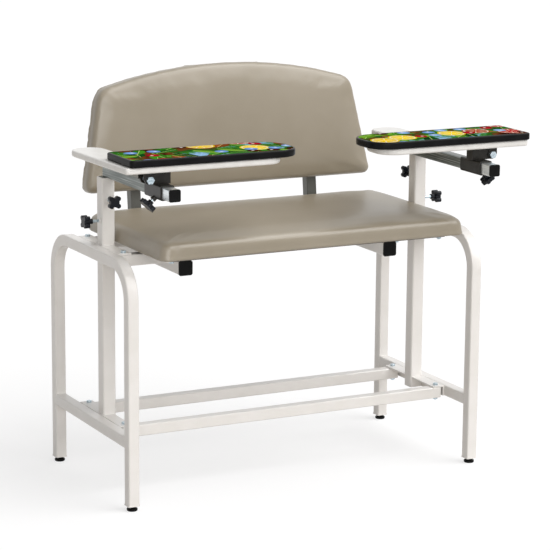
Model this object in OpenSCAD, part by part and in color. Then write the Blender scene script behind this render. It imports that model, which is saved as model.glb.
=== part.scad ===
// Extra-wide, extra-tall blood-draw chair with two lift, slide and flip arms.
// X is the chair's width, -Y is where the sitter faces, Z is up.

/* [Side frames] */
// Gap between the seat cushion's side and the arm post's inner face
seat_gap = 4.225; // [3:0.025:12]
// Spacing of the front and rear legs, between their tube centres
frame_d = 530; // [480:5:640]
// Height of the top of the side frames
frame_h = 692; // [560:1:760]
// Side of the square frame tube
tube = 31.75; // [28:0.25:36]
// Wall of the frame tube
tube_wall = 2; // [1.5:0.1:3]
// Bend radius of the side frames, at the tube's centre line
bend_r = 95; // [75:1:120]
// Height of the top of the lower side tubes
rail_h = 206; // [150:1:260]
// Height of the foot glides
glide_h = 14; // [10:0.5:20]
// Diameter of the foot glides
glide_d = 30; // [22:1:31]
// Thickness of the plates that close the legs
leg_plate_t = 2.5; // [1.5:0.5:4]

/* [Cross rails] */
// Spacing of the front and rear cross rails, between their centres
rail_pitch = 254; // [220:1:300]
// Gap between a cross rail's end and the angle iron
rail_gap = 7; // [4:0.5:12]
// Leg of the angle irons that join the side frames
angle_leg = 38.1; // [34:0.1:44]
// Thickness of the angle irons
angle_t = 4.8; // [3:0.1:5]
// Shank diameter of the frame bolts
frame_bolt_d = 8; // [6:0.5:9]

/* [Seat] */
// Width of the seat cushion
seat_w = 954; // [800:1:1150]
// Depth of the seat cushion
seat_d = 534; // [480:1:545]
// Overhang of the seat in front of the front cross rail
seat_front = 182; // [150:1:205]
// Height of the cushion's side above its lower edge
seat_side_h = 52.8; // [44:0.1:64]
// Rise of the seat's crown above the edge
seat_crown = 11; // [6:0.5:14]
// Radius of the seat's upper edge
seat_edge_r = 14; // [10:1:20]
// Thickness of the seat board
seat_board_t = 15.9; // [12:0.1:19]
// Radius of the seat's corners seen from above
seat_corner_r = 50; // [36:1:60]

/* [Back] */
// How far each lower corner of the backrest lies inboard of the seat's side
back_inset = 4; // [0:0.5:40]
// How much each side draws in towards the top
back_taper = 58; // [40:1:70]
// Height of the backrest at its middle
back_h = 366; // [320:1:400]
// Rise of the arched top over its full width
back_arch = 63; // [50:1:80]
// Thickness of the back cushion
back_pad_t = 62; // [50:1:70]
// Thickness of the back board
back_board_t = 15.9; // [12:0.1:19]
// Recline of the backrest, in degrees
back_angle = 6.6; // [3:0.1:10]
// Gap between the seat's lower edge and the backrest's lower edge
back_lift = 94.8; // [85:0.1:130]
// Distance of the backrest's lower edge behind the frame's middle
back_y = 203; // [196:1:230]

/* [Back support] */
// Spacing of the two seat rails, between their centres
seat_rail_pitch = 650; // [560:1:700]
// Side of the square seat rails
seat_rail = 38.1; // [35:0.1:42]
// How far the uprights reach up behind the backrest
upright_reach = 240; // [160:1:280]

/* [Arm posts] */
// Side of the square arm posts
post = 38.1; // [36:0.1:42]
// Height of the arm posts' tops above the side frames
post_rise = 190; // [165:1:240]
// Side of the square arm tubes
arm_tube = 31.75; // [28:0.25:33]
// Length of the stem that lies in the post, with the arm fully down
stem_l = 225; // [200:1:240]
// Sliding clearance of the stem and the sleeve, each side
slide_clear = 0.15; // [0.1:0.05:0.3]
// How far the arm tube sits inboard of its post
arm_offset = 9.9; // [6:0.1:12]
// Reach of the arm tube in front of the post's centre
arm_reach = 436; // [410:1:470]
// Height travel of the arm
lift_travel = 100; // [60:1:110]

/* [Arm carriage] */
// Outer side of the sliding sleeve
sleeve = 40; // [38:0.5:44]
// Length of the sliding sleeve
sleeve_l = 104; // [90:1:120]
// Distance of the sleeve's front end behind the front of the arm tube
sleeve_back = 44; // [40:1:60]
// Height of the flip axis above the arm tube's centre line
axis_up = 32.5; // [30:0.5:36]
// Distance of the flip axis outboard of the arm tube's centre line
axis_out = 38; // [34:0.5:42]
// Shank diameter of the hinge bolt
hinge_bolt_d = 12.7; // [10:0.1:14]
// Running clearance of the board's hinge on its bolt, on the radius
pin_clear = 0.05; // [0.03:0.01:0.1]

/* [Arm boards] */
// Length of the arm board
board_l = 468; // [430:1:500]
// Depth of the arm board's main part
board_d = 150; // [135:1:165]
// Thickness of the arm board
board_t = 18; // [15:0.5:22]
// Width of the tongue that runs back from the board
tongue_w = 96; // [80:1:104]
// Length of the board from its front edge to the tongue's end
tongue_l = 382; // [330:1:420]
// Length of the arm pad
pad_l = 502; // [460:1:530]
// Depth of the arm pad
pad_d = 170; // [155:1:180]
// Thickness of the arm pad
pad_t = 20; // [16:1:26]

/* [Knobs] */
// Reach of a star knob's lobes, across
star_d = 42; // [32:1:46]
// Thickness of a star knob's head
star_t = 16; // [12:1:20]
// Shank diameter of the knobs' studs
stud_d = 8; // [6:0.5:9]
// Length of stud that shows between the post and a star knob
stud_show = 22; // [16:1:28]
// Depth of the upper star knobs below the arm posts' tops
knob_up_drop = 62; // [46:1:76]
// Height between an upper star knob and the lower one on the left
knob_pitch = 60; // [48:1:74]
// How much lower the right-hand lower knob sits than the left-hand one
knob_low_drop = 10; // [0:1:14]
// Diameter of the clamp knob under the sleeve
clamp_d = 48; // [40:1:50]
// Thickness of the clamp knob
clamp_t = 12; // [9:0.5:14]

/* [Hidden] */
// One overrun for every cut, and the clearance of parts that only rest together
cut = 1;
rest_gap = 0.3;
weld = 0.6;
fine = 64;
edge_share = 0.07;

// The frame's middle stands behind the origin, so that the origin is the middle of
// the whole chair's footprint
front_y = -arm_reach - arm_tube * 0.14;
rear_y = back_y + upright_reach * sin(back_angle)
    + (back_pad_t + back_board_t / 2 + tube) * cos(back_angle);
frame_y = -(front_y + rear_y) / 2;

// The arm posts and the angle irons fill the space between the seat and the side frames
frame_w = seat_w + 2 * (seat_gap + post + angle_t) + tube;
back_w = seat_w - 2 * back_inset;
post_h = frame_h + post_rise;
knob_up_h = post_h - knob_up_drop;
knob_low_h = knob_up_h - knob_pitch;

half_w = frame_w / 2;
half_d = frame_d / 2;
half_t = tube / 2;
half_pitch = rail_pitch / 2;
leg_z = glide_h + leg_plate_t;
inner_x = half_w - half_t;
post_x = inner_x - angle_t - post / 2;
arm_x = post_x - arm_offset;
rail_end_x = inner_x - angle_t - rail_gap;
upper_rail_z = frame_h - angle_t - half_t;
lower_rail_z = rail_h - angle_t - half_t;

seat_rail_x = seat_rail_pitch / 2;
seat_rail_z = upper_rail_z - half_t - seat_rail / 2;
upright_x = seat_rail_x - seat_rail / 2 - half_t;
seat_z = frame_h - angle_t;
seat_y = -half_pitch - half_t - seat_front;
seat_lip = seat_board_t * 0.6;
back_z = seat_z + seat_lip + back_lift;
back_lip = back_board_t / 2;
upright_n = back_pad_t + back_board_t - back_lip + half_t;

arm_z = post_h + rest_gap + arm_tube / 2;
sleeve_y = -arm_reach + sleeve_back + sleeve_l / 2;
axis_x = arm_x + axis_out;
axis_z = arm_z + axis_up;
lug_r = hinge_bolt_d;
hinge_rise = lug_r * 1.94;
board_z = axis_z + hinge_rise;

// ---------- shared outlines and solids ----------

// A square outline with cut corners, the section of a drawn tube
module tube_outline(side, edge) {
    h = side / 2;
    polygon([
        [h - edge, -h], [h, -h + edge], [h, h - edge], [h - edge, h],
        [-h + edge, h], [-h, h - edge], [-h, -h + edge], [-h + edge, -h]
    ]);
}

module tube_section(side, wall) {
    difference() {
        tube_outline(side, side * edge_share);
        tube_outline(side - 2 * wall, side * edge_share / 2);
    }
}

// Straight runs of tube along each axis, from the given start
module tube_up(side, wall, length) {
    linear_extrude(length) tube_section(side, wall);
}

module tube_back(side, wall, length) {
    rotate([-90, 0, 0]) linear_extrude(length) tube_section(side, wall);
}

module tube_across(side, wall, length) {
    rotate([90, 0, 90]) linear_extrude(length) tube_section(side, wall);
}

module hexagon(across_flats, height) {
    cylinder(d = across_flats / cos(30), h = height, $fn = 6);
}

// One side's copy of a part drawn for the right, mirrored for the left
module on_side(side) {
    if (side > 0) placed() children();
    else placed() mirror([1, 0, 0]) children();
}

module placed() {
    translate([0, frame_y, 0]) children();
}

// Outlines built from corner points and radii
function unit(v) = v / norm(v);

function corner_arc(a, b, c, r, n) =
    let (u = unit(a - b), v = unit(c - b), half = acos(u * v) / 2,
         centre = b + unit(u + v) * r / sin(half),
         p = b + u * r / tan(half) - centre, q = b + v * r / tan(half) - centre,
         start = atan2(p.y, p.x), turn = atan2(q.y, q.x) - start,
         sweep = turn > 180 ? turn - 360 : turn < -180 ? turn + 360 : turn)
    [for (i = [0:n]) centre + r * [cos(start + sweep * i / n), sin(start + sweep * i / n)]];

function rounded(corners, radii, n) =
    let (m = len(corners))
    [for (i = [0:m - 1])
        each corner_arc(corners[(i + m - 1) % m], corners[i], corners[(i + 1) % m], radii[i], n)];

// Long straight sides get points in between, so that a crown bends over them
function divided(points, longest) =
    let (m = len(points))
    [for (i = [0:m - 1])
        let (a = points[i], b = points[(i + 1) % m], k = ceil(norm(b - a) / longest))
        for (j = [0:k - 1]) a + (b - a) * j / k];

function inward(points, i, depth) =
    let (m = len(points), t = unit(points[(i + 1) % m] - points[(i + m - 1) % m]))
    points[i] + depth * [-t.y, t.x];

function inset(points, depth) = [for (i = [0:len(points) - 1]) inward(points, i, depth)];

function middle(points) =
    let (xs = [for (p = points) p.x], ys = [for (p = points) p.y])
    [(min(xs) + max(xs)) / 2, (min(ys) + max(ys)) / 2];

// A closed form lofted through rings: rims are [inset, height], and the top swells
// from the last rim to its middle by the crown
module padded_form(points, floor_z, rims, crown, crown_shares) {
    m = len(points);
    centre = middle(points);
    last = rims[len(rims) - 1];
    edge_ring = inset(points, last[0]);
    rings = [
        for (rim = rims) [for (p = inset(points, rim[0])) [p.x, p.y, rim[1]]],
        for (s = crown_shares)
            [for (p = edge_ring) [centre.x + (p.x - centre.x) * s,
                                  centre.y + (p.y - centre.y) * s,
                                  last[1] + crown * (1 - pow(s, 3))]]
    ];
    k = len(rings);
    all_points = [
        each [for (ring = rings) each ring],
        [centre.x, centre.y, floor_z],
        [centre.x, centre.y, last[1] + crown]
    ];
    sides = [
        for (r = [0:k - 2]) for (i = [0:m - 1])
            let (j = (i + 1) % m, a = r * m + i, b = r * m + j, c = b + m, d = a + m)
            each [[a, d, c], [a, c, b]]
    ];
    ends = [
        for (i = [0:m - 1])
            let (j = (i + 1) % m, top = (k - 1) * m)
            each [[k * m, i, j], [top + i, k * m + 1, top + j]]
    ];
    polyhedron(all_points, concat(sides, ends), convexity = 4);
}

// ---------- side frames, feet and cross rails ----------

// One bent tube makes both legs and the top, with a lower tube welded between the legs
module side_frame() {
    color("gainsboro") {
        for (y = [-half_d, half_d])
            translate([half_w, y, leg_z]) tube_up(tube, tube_wall, frame_h - half_t - bend_r - leg_z);
        translate([half_w, -half_d + bend_r, frame_h - half_t])
            tube_back(tube, tube_wall, frame_d - 2 * bend_r);
        translate([half_w, half_d - bend_r, frame_h - half_t - bend_r])
            rotate([90, 0, 90]) rotate_extrude(angle = 90, $fn = fine)
                translate([bend_r, 0]) tube_section(tube, tube_wall);
        translate([half_w, -half_d + bend_r, frame_h - half_t - bend_r])
            rotate([90, 0, 90]) rotate([0, 0, 90]) rotate_extrude(angle = 90, $fn = fine)
                translate([bend_r, 0]) tube_section(tube, tube_wall);
        translate([half_w, -half_d + half_t - weld, rail_h - half_t])
            tube_back(tube, tube_wall, frame_d - tube + 2 * weld);
    }
}

module side_frame_left() { on_side(-1) side_frame(); }
module side_frame_right() { on_side(1) side_frame(); }

module at_legs() {
    for (x = [-half_w, half_w]) for (y = [-half_d, half_d]) translate([x, y, 0]) children();
}

leg_plate_rim = leg_plate_t * 0.5;
leg_plate = tube + 2 * leg_plate_rim;
glide_stem_d = glide_d * 0.35;

module leg_plates() {
    placed() color("gainsboro") at_legs() translate([0, 0, glide_h]) difference() {
        linear_extrude(leg_plate_t) tube_outline(leg_plate, leg_plate * edge_share);
        translate([0, 0, -cut]) cylinder(d = glide_stem_d, h = leg_plate_t + 2 * cut, $fn = fine);
    }
}

// A screw-in glide: a waisted foot on a short stem in the leg's plate
module foot_glides() {
    waist = glide_d * 0.72;
    foot_t = glide_h * 0.45;
    placed() color("dimgray") at_legs() rotate_extrude($fn = fine) polygon([
        [0, 0], [glide_d / 2 - foot_t / 4, 0], [glide_d / 2, foot_t / 4], [glide_d / 2, foot_t],
        [waist / 2, foot_t * 1.4], [waist / 2, glide_h], [glide_stem_d / 2, glide_h],
        [glide_stem_d / 2, glide_h + leg_plate_t * 2], [0, glide_h + leg_plate_t * 2]
    ]);
}

// The angle iron lies along the side frame's inner face, flush with its top,
// and is notched where the arm post runs through it
angle_l = rail_pitch + tube;

module angle_iron(top_z) {
    color("gainsboro") difference() {
        translate([inner_x - angle_leg, -angle_l / 2, top_z - tube]) cube([angle_leg, angle_l, tube]);
        translate([inner_x - angle_leg - cut, -angle_l / 2 - cut, top_z - tube - cut])
            cube([angle_leg - angle_t + cut, angle_l + 2 * cut, tube - angle_t + cut]);
        translate([inner_x - angle_leg - cut, -post / 2, top_z - tube - cut])
            cube([angle_leg - angle_t + cut, post, tube + 2 * cut]);
        for (y = [-half_pitch, half_pitch])
            translate([frame_bolt_x, y, top_z - tube])
                cylinder(d = frame_bolt_d + 2 * bolt_clear, h = tube + cut, $fn = fine);
    }
}

bolt_clear = frame_bolt_d * 0.02;
frame_bolt_x = inner_x - angle_t - (angle_leg - angle_t) / 2;
module angle_upper_left() { on_side(-1) angle_iron(frame_h); }
module angle_upper_right() { on_side(1) angle_iron(frame_h); }
module angle_lower_left() { on_side(-1) angle_iron(rail_h); }
module angle_lower_right() { on_side(1) angle_iron(rail_h); }

module cross_rail(y, z, holes) {
    placed() color("gainsboro") difference() {
        translate([-rail_end_x, y, z]) tube_across(tube, tube_wall, 2 * rail_end_x);
        for (x = holes) translate([x, y, z - half_t - cut])
            cylinder(d = frame_bolt_d + 2 * bolt_clear, h = tube + 2 * cut, $fn = fine);
    }
}

frame_holes = [-frame_bolt_x, frame_bolt_x];
seat_bolt_head = frame_bolt_d * 1.8;
seat_bolt_x = seat_rail_x + seat_rail / 2 + seat_bolt_head;
seat_holes = [-frame_bolt_x, -seat_bolt_x, seat_bolt_x, frame_bolt_x];
module seat_cross_rail_front() { cross_rail(-half_pitch, upper_rail_z, seat_holes); }
module seat_cross_rail_rear() { cross_rail(half_pitch, upper_rail_z, seat_holes); }
module foot_rail_front() { cross_rail(-half_pitch, lower_rail_z, frame_holes); }
module foot_rail_rear() { cross_rail(half_pitch, lower_rail_z, frame_holes); }

// Hex bolts run down through angle iron and rail into nuts below the rail
hex_af = frame_bolt_d * 1.75;
hex_t = frame_bolt_d * 0.7;
bolt_grip = angle_t + tube;

module at_frame_bolts() {
    for (x = frame_holes) for (y = [-half_pitch, half_pitch]) for (z = [frame_h, rail_h])
        translate([x, y, z]) children();
}

module frame_bolts() {
    placed() color("silver") at_frame_bolts() {
        hexagon(hex_af, hex_t);
        translate([0, 0, -bolt_grip - hex_t * 1.5])
            cylinder(d = frame_bolt_d, h = bolt_grip + hex_t * 2, $fn = fine);
    }
}

module frame_nuts() {
    placed() color("silver") at_frame_bolts() translate([0, 0, -bolt_grip - hex_t]) difference() {
        hexagon(hex_af, hex_t);
        translate([0, 0, -cut]) cylinder(d = frame_bolt_d, h = hex_t + 2 * cut, $fn = fine);
    }
}

// Bolts from below hold the seat board down on the upper cross rails
seat_bolt_d = frame_bolt_d * 0.75;

module seat_bolts() {
    placed() color("silver") for (x = [-seat_bolt_x, seat_bolt_x]) for (y = [-half_pitch, half_pitch])
        translate([x, y, upper_rail_z - half_t]) {
            translate([0, 0, -hex_t]) hexagon(hex_af, hex_t);
            translate([0, 0, -hex_t / 2])
                cylinder(d = seat_bolt_d, h = hex_t / 2 + tube + seat_board_t / 2, $fn = fine);
        }
}

// ---------- seat rails and back uprights ----------

seat_rail_nose = seat_rail * 0.08;
seat_rail_front_y = -half_pitch - half_t - seat_rail_nose;
upright_foot_y = back_y + upright_n * cos(back_angle)
    - (back_z - seat_rail_z - upright_n * sin(back_angle)) * tan(back_angle);
seat_rail_rear_y = upright_foot_y + half_t * 1.6;
seat_rail_l = seat_rail_rear_y - seat_rail_front_y;
upright_bolt_gap = seat_rail * 0.36;

module seat_rail() {
    color("gainsboro") difference() {
        translate([seat_rail_x, seat_rail_front_y, seat_rail_z])
            tube_back(seat_rail, tube_wall, seat_rail_l);
        at_upright_bolts() translate([0, 0, -cut])
            cylinder(d = frame_bolt_d + 2 * bolt_clear, h = seat_rail + 2 * cut, $fn = fine);
    }
}

module seat_rail_left() { on_side(-1) seat_rail(); }
module seat_rail_right() { on_side(1) seat_rail(); }

// Square end caps: a flange over the rail's end and a plug inside it
cap_t = seat_rail * 0.12;
cap_rim = seat_rail * 0.045;

module end_cap(side, wall, flange_t, rim) {
    rotate([90, 0, 0]) linear_extrude(flange_t) tube_outline(side + 2 * rim, side * edge_share * 1.5);
    plug = side - 2 * wall;
    rotate([-90, 0, 0]) linear_extrude(flange_t * 2) tube_section(plug, plug * 0.1);
}

module seat_rail_caps() {
    placed() color("black") for (x = [-seat_rail_x, seat_rail_x], rear = [0, 1])
        translate([x, rear ? seat_rail_rear_y : seat_rail_front_y, seat_rail_z]) mirror([0, rear, 0])
            end_cap(seat_rail, tube_wall, cap_t, cap_rim);
}

// The two bolts of each upright lie across the rail, one in front of the other
module at_upright_bolts() {
    for (i = [-1, 1])
        translate([seat_rail_x - seat_rail / 2, upright_foot_y, seat_rail_z])
            rotate([-back_angle, 0, 0]) translate([0, 0, i * upright_bolt_gap / 2 * 1.2])
                rotate([0, 90, 0]) children();
}

// In the backrest's own frame X runs across, Y up its face and Z out of its rear
module back_frame() {
    translate([0, back_y, back_z]) rotate([90 - back_angle, 0, 0]) mirror([0, 0, 1]) children();
}

back_screw_d = frame_bolt_d * 0.75;
back_screw_heights = [0.32, 0.8];
upright_l = (back_z - seat_rail_z) / cos(back_angle) + seat_rail / 2 + upright_reach;

module back_upright() {
    color("dimgray") difference() {
        back_frame() translate([upright_x, upright_reach - upright_l, upright_n])
            rotate([-90, 0, 0]) linear_extrude(upright_l) tube_section(tube, tube_wall);
        at_upright_bolts() translate([0, 0, -tube - cut])
            cylinder(d = frame_bolt_d + 2 * bolt_clear, h = tube + 2 * cut, $fn = fine);
        for (s = back_screw_heights) back_frame()
            translate([upright_x, upright_reach * s, upright_n - half_t - cut])
                cylinder(d = back_screw_d + 2 * bolt_clear, h = tube + 2 * cut, $fn = fine);
    }
}

module back_upright_left() { on_side(-1) back_upright(); }
module back_upright_right() { on_side(1) back_upright(); }

module upright_bolts() {
    color("silver") for (side = [-1, 1]) on_side(side) at_upright_bolts() {
        translate([0, 0, seat_rail]) hexagon(hex_af, hex_t);
        translate([0, 0, -tube - hex_t * 1.4])
            cylinder(d = frame_bolt_d, h = tube + seat_rail + hex_t * 2, $fn = fine);
        translate([0, 0, -tube - hex_t]) hexagon(hex_af, hex_t);
    }
}

// Screws through the uprights into the back board

module back_screws() {
    placed() color("silver") for (x = [-upright_x, upright_x]) for (s = back_screw_heights)
        back_frame() translate([x, upright_reach * s, upright_n - half_t - back_board_t / 2]) {
            cylinder(d = back_screw_d, h = back_board_t / 2 + tube + hex_t / 2, $fn = fine);
            translate([0, 0, back_board_t / 2 + tube]) cylinder(d = hex_af * 0.8, h = hex_t / 2, $fn = fine);
        }
}

// ---------- upholstery ----------

seat_outline = divided(rounded(
    [[-seat_w / 2, seat_y], [seat_w / 2, seat_y],
     [seat_w / 2, seat_y + seat_d], [-seat_w / 2, seat_y + seat_d]],
    [seat_corner_r, seat_corner_r, seat_corner_r, seat_corner_r], 5), seat_w / 9);
seat_lap = seat_edge_r * 0.65;
seat_hem = seat_corner_r * 0.9;
cushion_shares = [0.93, 0.8, 0.6, 0.35];
seat_low = seat_z + seat_lip;
seat_top = seat_low + seat_side_h;

// Rims from the underside's lap round the side to the rolled upper edge: the side
// is drawn in a little halfway up
function cushion_rims(low, recess, top, lap, r) = [
    [lap, low + recess], [lap, low], [r * 0.12, low], [0, low + r * 0.12],
    [r * 0.1, low + (top - low - r) * 0.5], [0, top - r],
    [r * (1 - cos(30)), top - r * (1 - sin(30))], [r * (1 - cos(60)), top - r * (1 - sin(60))],
    [r, top]
];

module seat_cushion() {
    placed() color("tan") padded_form(seat_outline, seat_z + seat_board_t,
        cushion_rims(seat_low, seat_lip, seat_top, seat_lap, seat_edge_r), seat_crown, cushion_shares);
}

// The vinyl's hem is stapled in a rebate round the board's underside
module seat_board() {
    placed() color("burlywood") translate([0, 0, seat_z]) difference() {
        union() {
            linear_extrude(seat_board_t) polygon(inset(seat_outline, seat_hem));
            translate([0, 0, seat_lip]) linear_extrude(seat_board_t - seat_lip)
                polygon(inset(seat_outline, seat_lap));
        }
        for (x = [-seat_bolt_x, seat_bolt_x]) for (y = [-half_pitch, half_pitch])
            translate([x, y, -cut]) cylinder(d = seat_bolt_d, h = cut + seat_board_t / 2, $fn = fine);
    }
}

// The backrest's outline: straight lower edge, sides that draw in, arched top
back_top_w = back_w - 2 * back_taper;
back_side_h = back_h - back_arch;
arch_r = (pow(back_top_w / 2, 2) + pow(back_arch, 2)) / (2 * back_arch);
arch_turn = asin(back_top_w / 2 / arch_r);
arch_reach_share = 0.86;
back_shoulder_r = back_h * 0.15;
back_foot_r = back_h * 0.062;

function arch_point(share) =
    [arch_r * sin(arch_turn * share), back_h - arch_r * (1 - cos(arch_turn * share))];

back_outline = divided(concat(
    corner_arc([0, 0], [back_w / 2, 0], [back_top_w / 2, back_side_h], back_foot_r, 5),
    corner_arc([back_w / 2, 0], [back_top_w / 2, back_side_h], arch_point(arch_reach_share), back_shoulder_r, 4),
    [for (i = [4:-1:-4]) arch_point(arch_reach_share * i / 5)],
    corner_arc(arch_point(-arch_reach_share), [-back_top_w / 2, back_side_h], [-back_w / 2, 0],
        back_shoulder_r, 4),
    corner_arc([-back_top_w / 2, back_side_h], [-back_w / 2, 0], [0, 0], back_foot_r, 5)), back_w / 9);
back_edge_r = back_pad_t * 0.3;
back_lap = back_edge_r * 0.6;
back_crown = back_pad_t * 0.13;

// Drawn from the rear face forwards, then turned to face the sitter
module back_cushion() {
    rear = back_pad_t;
    placed() color("tan") back_frame() mirror([0, 0, 1]) translate([0, 0, -rear])
        padded_form(back_outline, back_lip,
            cushion_rims(0, back_lip, back_pad_t - back_crown, back_lap, back_edge_r),
            back_crown, cushion_shares);
}

module back_board() {
    placed() color("dimgray") back_frame() translate([0, 0, back_pad_t - back_lip]) difference() {
        linear_extrude(back_board_t) polygon(inset(back_outline, back_lap));
        for (x = [-upright_x, upright_x]) for (s = back_screw_heights)
            translate([x, upright_reach * s, back_board_t / 2])
                cylinder(d = back_screw_d, h = back_board_t, $fn = fine);
    }
}

// ---------- arm posts and arm supports ----------

post_bore = arm_tube + 2 * slide_clear;
stud_clear = stud_d * 0.006;
boss_d = stud_d * 2;
boss_t = stud_d * 0.4;

// turn 0 puts the upper knob on the front face, 180 on the rear face
module at_upper_knob(turn) {
    translate([post_x, 0, knob_up_h]) rotate([0, 0, turn]) translate([0, -post / 2, 0])
        rotate([90, 0, 0]) children();
}

module at_lower_knob(z) {
    translate([post_x + post / 2, 0, z]) rotate([0, 90, 0]) children();
}

// The post runs down inside the side frame, between the angle irons' upright legs
module arm_post(turn, low_z) {
    foot_z = rail_h - tube;
    color("gainsboro") difference() {
        union() {
            translate([post_x, 0, foot_z]) linear_extrude(post_h - foot_z)
                tube_outline(post, post * edge_share);
            at_upper_knob(turn) translate([0, 0, -weld]) cylinder(d = boss_d, h = boss_t + weld, $fn = fine);
            at_lower_knob(low_z) translate([0, 0, -weld]) cylinder(d = boss_d, h = boss_t + weld, $fn = fine);
        }
        translate([post_x, 0, foot_z - cut]) linear_extrude(post_h - foot_z + 2 * cut)
            tube_outline(post_bore, arm_tube * edge_share / 2);
        at_upper_knob(turn) translate([0, 0, -post / 2])
            cylinder(d = stud_d + 2 * stud_clear, h = post, $fn = fine);
        at_lower_knob(low_z) translate([0, 0, -post / 2])
            cylinder(d = stud_d + 2 * stud_clear, h = post, $fn = fine);
    }
}

low_left_z = knob_low_h;
low_right_z = knob_low_h - knob_low_drop;
module arm_post_left() { on_side(-1) arm_post(0, low_left_z); }
module arm_post_right() { on_side(1) arm_post(180, low_right_z); }

// Stem and arm tube are one weldment: the stem slides in the post, and the arm tube
// rests on the post's top when it is fully down
arm_rear_y = post * 0.2;
arm_wall = tube_wall;
stem_cap_t = arm_wall * 1.5;

module arm_support() {
    color("lightslategray") {
        translate([post_x, 0, post_h - stem_l]) tube_up(arm_tube, arm_wall, stem_l + rest_gap + weld);
        translate([post_x, 0, post_h - stem_cap_t]) linear_extrude(stem_cap_t + rest_gap)
            tube_outline(arm_tube, arm_tube * edge_share);
        translate([arm_x, -arm_reach, arm_z]) tube_back(arm_tube, arm_wall, arm_reach + arm_rear_y);
    }
}

module arm_support_left() { on_side(-1) arm_support(); }
module arm_support_right() { on_side(1) arm_support(); }

arm_cap_t = arm_tube * 0.14;

module arm_cap() {
    color("black") translate([arm_x, -arm_reach, arm_z])
        end_cap(arm_tube, arm_wall, arm_cap_t, arm_tube * 0.02);
}

module arm_cap_left() { on_side(-1) arm_cap(); }
module arm_cap_right() { on_side(1) arm_cap(); }

// ---------- slide bracket, its hinge and its clamp ----------

sleeve_bore = arm_tube + 2 * slide_clear;
sleeve_r = sleeve * 0.14;
plate_t = sleeve * 0.1;
stop_in = sleeve * 0.6;
stop_out = axis_out - lug_r * 0.95;
ear_gap = sleeve * 0.62;
ear_front_y = sleeve_y - sleeve_l / 2 + sleeve_l * 0.31;
ear_rear_y = ear_front_y + plate_t + ear_gap;
clamp_y = ear_front_y + sleeve_l * 0.12;

// Shapes drawn across the arm, as seen from the front, and pushed back along it
module cross_plate(y, thick) {
    translate([arm_x, y + thick, arm_z]) rotate([90, 0, 0]) linear_extrude(thick) children();
}

// One ear: a stop block under the board and a lug round the hinge bolt
module ear_outline() {
    low = sleeve / 2 - weld;
    translate([-stop_in, low]) square([stop_in + stop_out, axis_up + hinge_rise - rest_gap - low]);
    translate([0, axis_up - lug_r]) square([axis_out, 2 * lug_r]);
    translate([axis_out, axis_up]) circle(r = lug_r, $fn = fine);
}

// The clamp's axis runs through the tube's lower outer edge, at 45 degrees
module at_clamp(distance) {
    translate([arm_x, clamp_y, arm_z]) rotate([0, 135, 0]) translate([0, 0, distance]) children();
}

tube_corner = arm_tube / sqrt(2) - arm_tube * edge_share / sqrt(2);
sleeve_corner = sleeve / sqrt(2) - sleeve_r * (sqrt(2) - 1);
clamp_boss_h = stud_d * 0.8;

module slide_bracket() {
    outline = rounded(
        [[-sleeve / 2, -sleeve / 2], [sleeve / 2, -sleeve / 2],
         [sleeve / 2, sleeve / 2], [-sleeve / 2, sleeve / 2]],
        [sleeve_r, sleeve_r, sleeve_r, sleeve_r], 4);
    color("darkslategray") difference() {
        union() {
            cross_plate(sleeve_y - sleeve_l / 2, sleeve_l) polygon(outline);
            cross_plate(ear_front_y, plate_t) ear_outline();
            cross_plate(ear_rear_y, plate_t) ear_outline();
            cross_plate(ear_front_y, ear_gap + 2 * plate_t)
                translate([-stop_in, sleeve / 2 - weld])
                    square([plate_t, axis_up + hinge_rise - rest_gap - sleeve / 2 + weld]);
            at_clamp(sleeve_corner - plate_t / 2)
                cylinder(d = boss_d, h = clamp_boss_h + plate_t / 2, $fn = fine);
        }
        cross_plate(sleeve_y - sleeve_l / 2 - cut, sleeve_l + 2 * cut)
            tube_outline(sleeve_bore, arm_tube * edge_share / 2);
        cross_plate(ear_front_y - cut, ear_gap + 2 * plate_t + 2 * cut)
            translate([axis_out, axis_up]) circle(d = hinge_bolt_d, $fn = fine);
        at_clamp(0) cylinder(d = stud_d + 2 * stud_clear, h = sleeve * 2, $fn = fine);
    }
}

module slide_bracket_left() { on_side(-1) slide_bracket(); }
module slide_bracket_right() { on_side(1) slide_bracket(); }

// The board's hinge: two legs outside the ears, joined by a web under the board
hinge_t = plate_t * 0.75;
hinge_side_gap = rest_gap;
hinge_front_y = ear_front_y - hinge_side_gap - hinge_t;
hinge_rear_y = ear_rear_y + plate_t + hinge_side_gap;
hinge_l = hinge_rear_y + hinge_t - hinge_front_y;
hinge_in = lug_r * 0.76;
hinge_out = lug_r * 1.3;

module hinge_leg() {
    translate([axis_out - hinge_in, axis_up]) square([hinge_in + hinge_out, hinge_rise]);
    translate([axis_out, axis_up]) circle(r = lug_r, $fn = fine);
}

module board_hinge() {
    color("silver") difference() {
        union() {
            cross_plate(hinge_front_y, hinge_t) hinge_leg();
            cross_plate(hinge_rear_y, hinge_t) hinge_leg();
            cross_plate(hinge_front_y, hinge_l)
                translate([axis_out - hinge_in, axis_up + hinge_rise - hinge_t])
                    square([hinge_in + hinge_out, hinge_t]);
        }
        cross_plate(hinge_front_y - cut, hinge_l + 2 * cut)
            translate([axis_out, axis_up]) circle(r = hinge_bolt_d / 2 + pin_clear, $fn = fine);
    }
}

module board_hinge_left() { on_side(-1) board_hinge(); }
module board_hinge_right() { on_side(1) board_hinge(); }

hinge_head_t = hinge_bolt_d * 0.63;
hinge_af = hinge_bolt_d * 1.5;

module hinge_bolt() {
    grip = hinge_l + 2 * hinge_side_gap;
    color("silver") translate([axis_x, hinge_front_y - hinge_side_gap, axis_z]) {
        rotate([90, 0, 0]) hexagon(hinge_af, hinge_head_t);
        translate([0, grip, 0]) rotate([-90, 0, 0]) hexagon(hinge_af, hinge_head_t);
        rotate([-90, 0, 0]) cylinder(d = hinge_bolt_d, h = grip + hinge_head_t * 1.4, $fn = fine);
    }
}

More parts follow.
